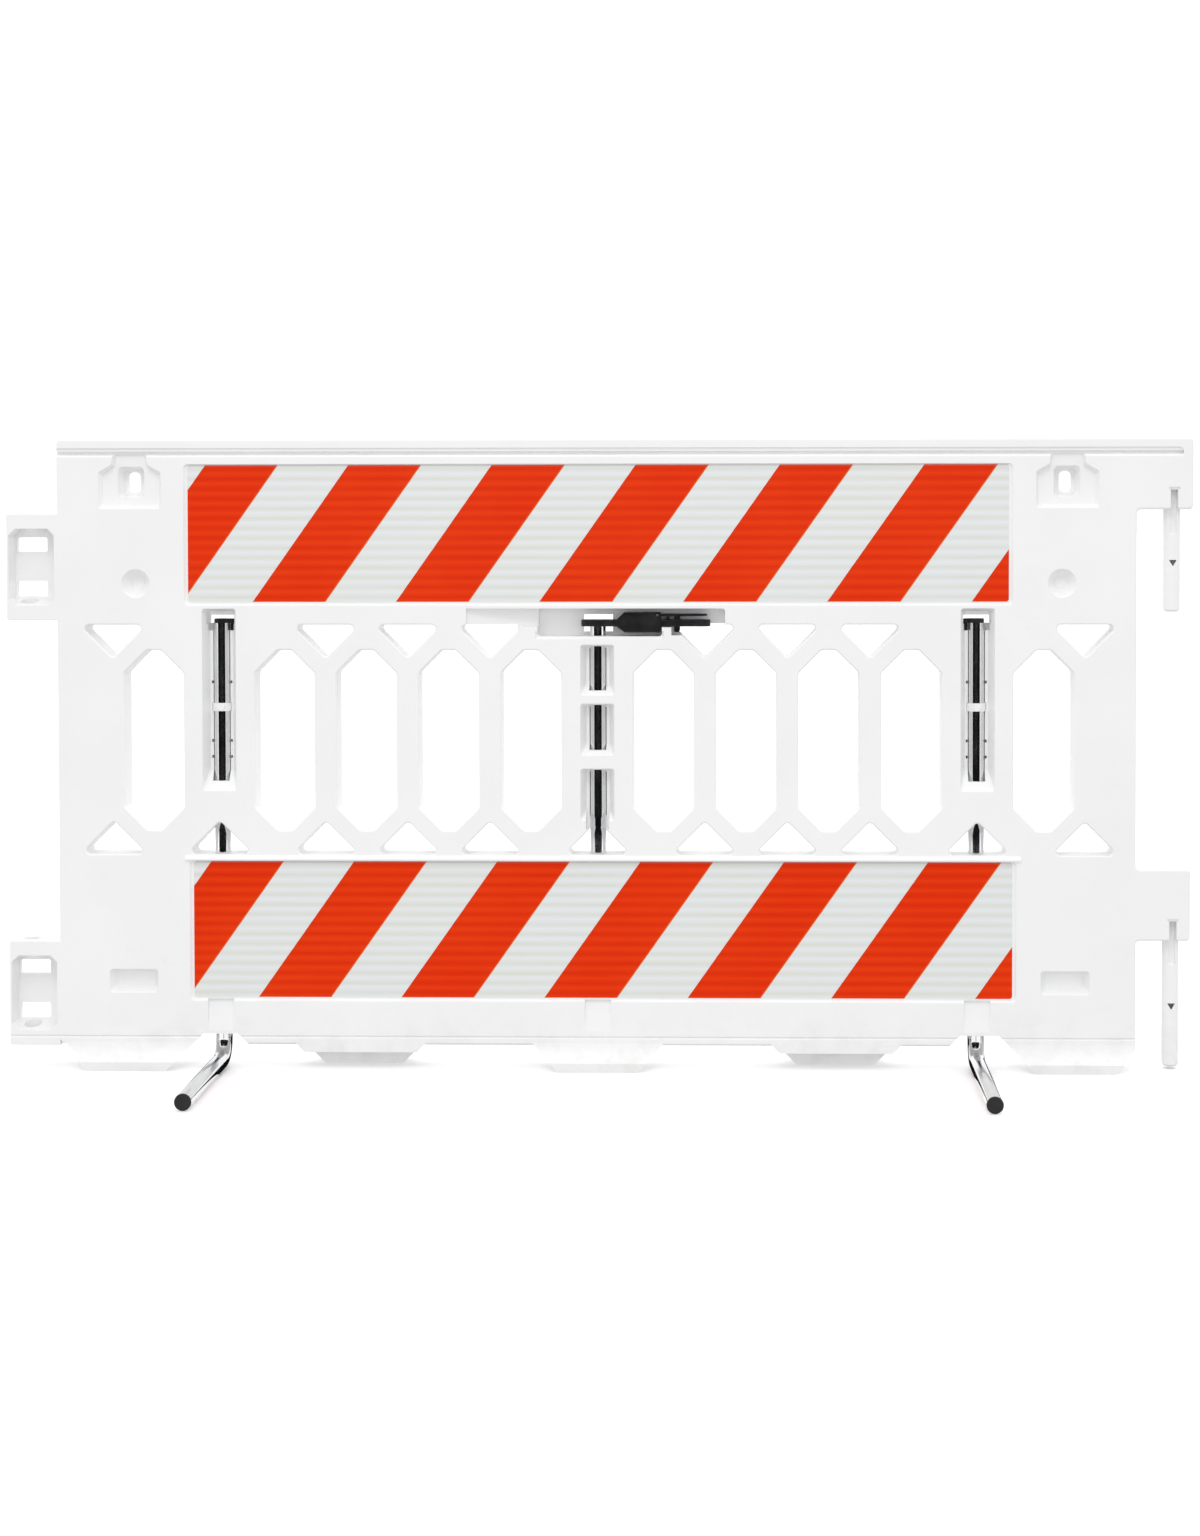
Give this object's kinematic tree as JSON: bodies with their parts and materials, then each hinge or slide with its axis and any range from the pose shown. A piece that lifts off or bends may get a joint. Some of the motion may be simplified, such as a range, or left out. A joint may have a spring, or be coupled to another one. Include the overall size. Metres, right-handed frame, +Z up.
{
  "type": "interlocking pedestrian barricade",
  "caption": "Upright hollow plastic barricade panel with striped reflective sheeting, swing-out tube feet and drop-pin couplings at its ends.",
  "frame": {"origin": "on the floor, under the middle of the panel", "axes": "+X along the panel towards the drop pins, -Y out of the front face, +Z up"},
  "size_m": [1.762, 0.552, 0.94],
  "materials": {
    "white_plastic": "satin",
    "white_nylon": "satin",
    "reflective_sheet": "gloss",
    "zinc_screw": "satin",
    "plated_tube": "gloss",
    "black_rubber": "matte",
    "black_plastic": "satin",
    "spring_steel": "satin"
  },
  "bodies": {
    "panel_body": {"panel": "white_plastic", "socket_upper": "white_plastic", "socket_lower": "white_plastic", "drop_pin_upper": "white_plastic", "drop_pin_lower": "white_plastic", "left_tube_clip": "white_nylon", "right_tube_clip": "white_nylon", "front_sheet_upper": "reflective_sheet", "front_sheet_lower": "reflective_sheet", "back_sheet_upper": "reflective_sheet", "back_sheet_lower": "reflective_sheet", "socket_screws": "zinc_screw", "drop_pin_screws": "zinc_screw"},
    "left_leg": {"left_leg_tube": "plated_tube", "left_foot_plug": "black_rubber", "left_stop_plate": "black_plastic", "left_cross_pin": "zinc_screw"},
    "right_leg": {"right_leg_tube": "plated_tube", "right_foot_plug": "black_rubber", "right_stop_plate": "black_plastic", "right_cross_pin": "zinc_screw"},
    "centre_leg": {"centre_leg_tube": "plated_tube", "centre_foot_plug": "black_rubber", "centre_cross_pin": "zinc_screw", "lever_arm": "black_plastic", "lever_grip": "black_plastic", "grip_screws": "zinc_screw", "latch_pin": "zinc_screw", "latch_spring": "spring_steel"},
    "latch": {"lever_latch": "black_plastic"}
  },
  "joints": [
    {"name": "left_leg_swing", "type": "hinge", "parent": "panel_body", "child": "left_leg", "pos_m": [-0.56375, 0, 0.3], "axis": [0, 0, 1], "range_deg": [0, 90]},
    {"name": "right_leg_swing", "type": "hinge", "parent": "panel_body", "child": "right_leg", "pos_m": [0.56375, 0, 0.3], "axis": [0, 0, -1], "range_deg": [0, 90]},
    {"name": "centre_leg_swing", "type": "hinge", "parent": "panel_body", "child": "centre_leg", "pos_m": [0, 0, 0.3], "axis": [0, 0, -1], "range_deg": [0, 90]},
    {"name": "latch_press", "type": "hinge", "parent": "centre_leg", "child": "latch", "pos_m": [0.089, 0, 0.6773], "axis": [0, 1, 0], "range_deg": [0, 3], "stiffness_Nm_per_rad": 0.4, "deforming": ["latch_spring"]}
  ]
}
